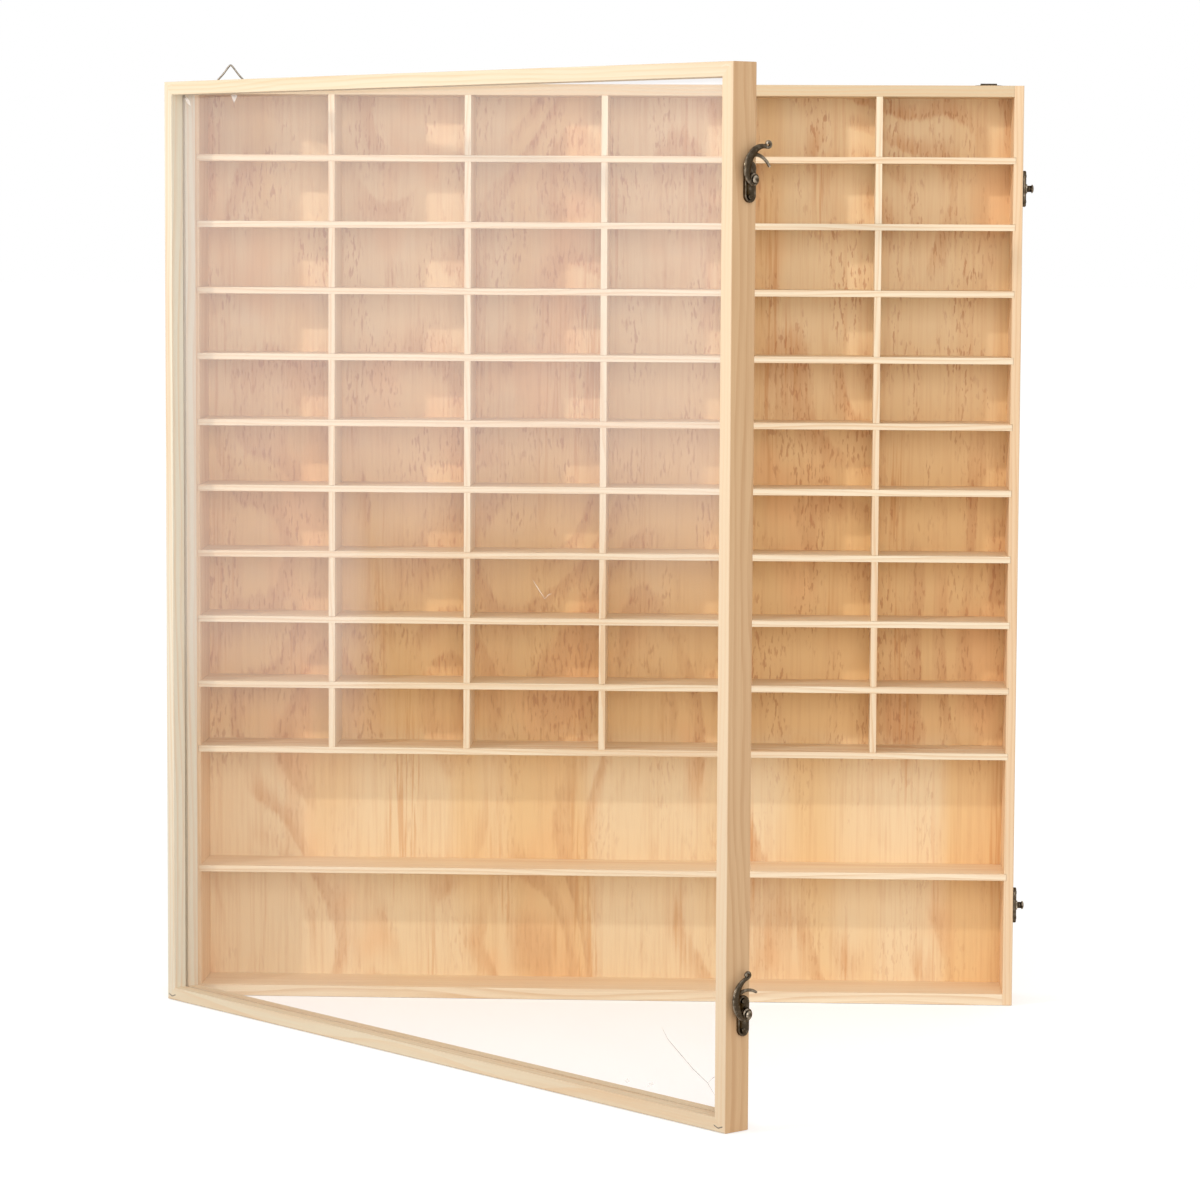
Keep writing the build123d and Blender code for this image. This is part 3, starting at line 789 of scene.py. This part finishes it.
def hanging_ring(side, upright):
    """A bent wire whose ends meet, standing up or hanging down from its axis at rest"""
    node = f"hanger_ring_{side}"
    low, high = (Vector(corner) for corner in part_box(node))
    axis = Vector(joints[f"{side}_ring_swing"]["pos_m"])
    reach = high.z - axis.z if upright else low.z - axis.z
    tip = reach - math.copysign(ring_wire, reach)
    half = (high.x - low.x) / 2 - ring_wire
    outline = [(-0.02, 0.0), (0.94, 0.0), (0.99, 0.06), (0.93, 0.16), (0.6, 0.42)]
    outline += [(0.12, 0.93), (0.0, 1.0), (-0.12, 0.93), (-0.42, 0.6), (-0.62, 0.41)]
    outline += [(-0.93, 0.16), (-0.99, 0.06), (-0.94, 0.0), (-0.06, 0.0)]
    curve = bpy.data.curves.new(f"wire_ring_{side}", "CURVE")
    curve.dimensions = "3D"
    curve.bevel_depth = ring_wire
    curve.bevel_resolution = 3
    curve.resolution_u = 8
    curve.use_fill_caps = True
    spline = curve.splines.new("NURBS")
    spline.points.add(len(outline) - 1)
    for point, (x, rise) in zip(spline.points, outline):
        point.co = (axis.x + x * half, axis.y, axis.z + rise * tip, 1)
    spline.order_u = 3
    spline.use_endpoint_u = True
    piece = bpy.data.objects.new(f"wire_ring_{side}", curve)
    bpy.context.scene.collection.objects.link(piece)
    curve.materials.append(wire_steel)
    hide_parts(node)
    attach(piece, f"{side}_ring")


def hanger_strap(side):
    """A flat strap with clipped lower corners and its top rolled round the ring"""
    node = f"hanger_strap_{side}"
    low, high = (Vector(corner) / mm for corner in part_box(node))
    axis = Vector(joints[f"{side}_ring_swing"]["pos_m"]) / mm
    half = (high.x - low.x) / 2
    bm = bmesh.new()
    rings = []
    inner = half - strap_ease
    for offset, ease in ((-half, strap_ease), (-inner, 0), (inner, 0), (half, strap_ease)):
        radius = high.y - axis.y - ease
        turns = [2 * math.pi * step / roll_sides for step in range(roll_sides)]
        around = [(radius * math.cos(turn), radius * math.sin(turn)) for turn in turns]
        rings.append([axis + Vector((offset, deep, rise)) for deep, rise in around])
    stacked(bm, rings)
    leaf = []
    for height, clip in ((low.z, 0.8), (low.z + 0.5, 0.25), (low.z + 1.2, 0.0), (axis.z, 0.0)):
        left, far = axis.x - half + clip, axis.x + half - clip
        outer = low.y + strap_thickness
        corners = ((left, low.y), (far, low.y), (far, outer), (left, outer))
        leaf.append([Vector((x, y, height)) for x, y in corners])
    stacked(bm, leaf)
    mesh = mesh_of(f"strap_{side}", bm, Matrix.Scale(mm, 4))
    piece = link(f"strap_{side}", mesh, metal, smooth=False)
    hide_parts(node)
    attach(piece, "case")


for side, upright in (("left", True), ("right", False)):
    hanging_ring(side, upright)
    hanger_strap(side)


# Marks on the acrylic: a forked crack in its lower corner, one bright scratch and scraps of
# film by the frame. Places are in millimetres along the door and up from its underside
ribbon_off = 0.03
ribbon_tip = 0.25
scrap_off = 0.05
hinge = Vector(joints["door_hinge"]["pos_m"])
panel_front = min((corner - hinge).dot(door_y) for corner in corners_of("acrylic_panel"))


def on_panel(along, height, off):
    foot = Vector((hinge.x, hinge.y, 0))
    return foot + door_x * along * mm + door_y * (panel_front - off * mm) + up * height * mm


def ribbon(bm, points, width):
    """A thin flat line just off the panel's front face, tapered to its ends"""
    rows = []
    for place, (along, height) in enumerate(points):
        before = points[max(place - 1, 0)]
        after = points[min(place + 1, len(points) - 1)]
        run = Vector((after[0] - before[0], after[1] - before[1])).normalized()
        half = width / 2 * (ribbon_tip if place in (0, len(points) - 1) else 1.0)
        sides = ((along - run.y * half, height + run.x * half),)
        sides += ((along + run.y * half, height - run.x * half),)
        rows.append([bm.verts.new(on_panel(*side, ribbon_off)) for side in sides])
    for (a, b), (c, d) in zip(rows, rows[1:]):
        bm.faces.new((a, b, d, c))


def scrap(bm, along, height, points):
    """A flat scrap of film just off the panel's front face"""
    corners = [on_panel(along + x, height + y, scrap_off) for x, y in points]
    bm.faces.new([bm.verts.new(corner) for corner in corners])


crack_line = [(465, 49), (470, 43), (480, 36.5), (491, 29.5), (503, 23.5), (509, 17.5)]
crack_fork = [(503, 23.5), (507.5, 27), (513, 30)]
scratch_line = [(352.5, 291), (357, 286.5), (363, 281)]
scratch_fork = [(363, 281), (366, 283.5), (369, 284.5)]
bm = bmesh.new()
ribbon(bm, crack_line, 0.35)
ribbon(bm, crack_fork, 0.25)
crack_material = steel("mark.crack", crack_colour, 0.3)
crack_mesh = mesh_of("panel_crack", bm, Matrix.Identity(4))
crack = link("panel_crack", crack_mesh, crack_material, smooth=False)
bm = bmesh.new()
ribbon(bm, scratch_line, 0.5)
ribbon(bm, scratch_fork, 0.35)
scrap(bm, 65, 570, [(-3.5, 2), (0, -3), (3.5, 1.5), (1, 2.2)])
scrap(bm, 16, 569, [(-3, 2), (-1, -1), (3, -3), (2, 0), (-1, 2.6)])
scrap(bm, 436, 14, [(-2.5, 0), (0, -1.4), (2.5, 0.2), (0.6, 1.6)])
scrap(bm, 456, 15, [(-3, -1.5), (3, 0.4), (2, 1.8), (-0.5, 1.1)])
marks_mesh = mesh_of("panel_marks", bm, Matrix.Identity(4))
marks = link("panel_marks", marks_mesh, film("mark.film"), smooth=False)
for piece in (crack, marks):
    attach(piece, "door")


# Floor, world, lamps and camera
floor_reach = 30
floor_drop = 0.3 * mm
sensor_width = 36


def seen_directly(tree):
    """1 for the rays that show a white background: seen, mirrored or through the panel"""
    paths = tree.nodes.new("ShaderNodeLightPath")
    total = None
    for ray in ("Is Camera Ray", "Is Glossy Ray", "Is Transmission Ray"):
        if total is None:
            total = paths.outputs[ray]
            continue
        added = tree.nodes.new("ShaderNodeMath")
        added.operation = "MAXIMUM"
        tree.links.new(total, added.inputs[0])
        tree.links.new(paths.outputs[ray], added.inputs[1])
        total = added.outputs[0]
    return total


bm = bmesh.new()
bmesh.ops.create_grid(bm, x_segments=1, y_segments=1, size=floor_reach)
floor_mesh = mesh_of("floor", bm, Matrix.Translation((0, 0, -floor_drop)))
floor_graph = Graph("floor.pale")
floor_noise = floor_graph.noise(floor_graph.node("TexCoord").outputs["Object"], 3.0)
floor_colour = floor_graph.mix(floor_noise, floor_pale, floor_dull)
floor_shine = floor_graph.node("BsdfDiffuse", {"Color": floor_colour})
floor_light = floor_graph.node("Emission", {"Color": (1.0, 1.0, 1.0)})
floor_strength = floor_graph.times(seen_directly(floor_graph.tree), floor_lift)
floor_graph.tree.links.new(floor_strength, floor_light.inputs["Strength"])
floor_sum = floor_graph.node("AddShader", {0: floor_shine.outputs[0], 1: floor_light.outputs[0]})
floor_output = floor_graph.node("OutputMaterial")
floor_graph.tree.links.new(floor_sum.outputs[0], floor_output.inputs[0])
floor = link("floor", floor_mesh, floor_graph.material)

world = bpy.data.worlds.new("studio")
bpy.context.scene.world = world
world.use_nodes = True
tree = world.node_tree
sky = tree.nodes["Background"]
sky.inputs["Color"].default_value = (1, 1, 1, 1)
level = tree.nodes.new("ShaderNodeMapRange")
level.inputs["To Min"].default_value = world_level
level.inputs["To Max"].default_value = 1.0
tree.links.new(seen_directly(tree), level.inputs["Value"])
tree.links.new(level.outputs[0], sky.inputs["Strength"])


def lamp(name, kind, place, aim, power, colour, **settings):
    data = bpy.data.lights.new(name, kind)
    data.energy = power
    data.color = colour
    for key, value in settings.items():
        setattr(data, key, value)
    piece = bpy.data.objects.new(name, data)
    bpy.context.scene.collection.objects.link(piece)
    piece.location = place
    towards = Vector(aim) - Vector(place)
    piece.rotation_euler = towards.to_track_quat("-Z", "Y").to_euler()


lamp(
    "key",
    "SPOT",
    key_place,
    key_aim,
    key_power,
    key_colour,
    shadow_soft_size=key_radius,
    spot_size=math.radians(key_angle),
    spot_blend=1.0,
)
lamp("fill", "AREA", fill_place, fill_aim, fill_power, fill_colour, size=fill_size)

camera_data = bpy.data.cameras.new("camera")
camera_data.lens = camera_lens
camera_data.sensor_width = sensor_width
camera = bpy.data.objects.new("camera", camera_data)
bpy.context.scene.collection.objects.link(camera)
turn = Matrix.Rotation(math.radians(camera_yaw), 4, "Z")
tilt = Matrix.Rotation(math.radians(90 - camera_pitch), 4, "X")
roll = Matrix.Rotation(math.radians(camera_roll), 4, "Z")
camera.matrix_world = Matrix.Translation(camera_place) @ turn @ tilt @ roll
bpy.context.scene.camera = camera
bpy.context.scene.view_settings.view_transform = "Standard"
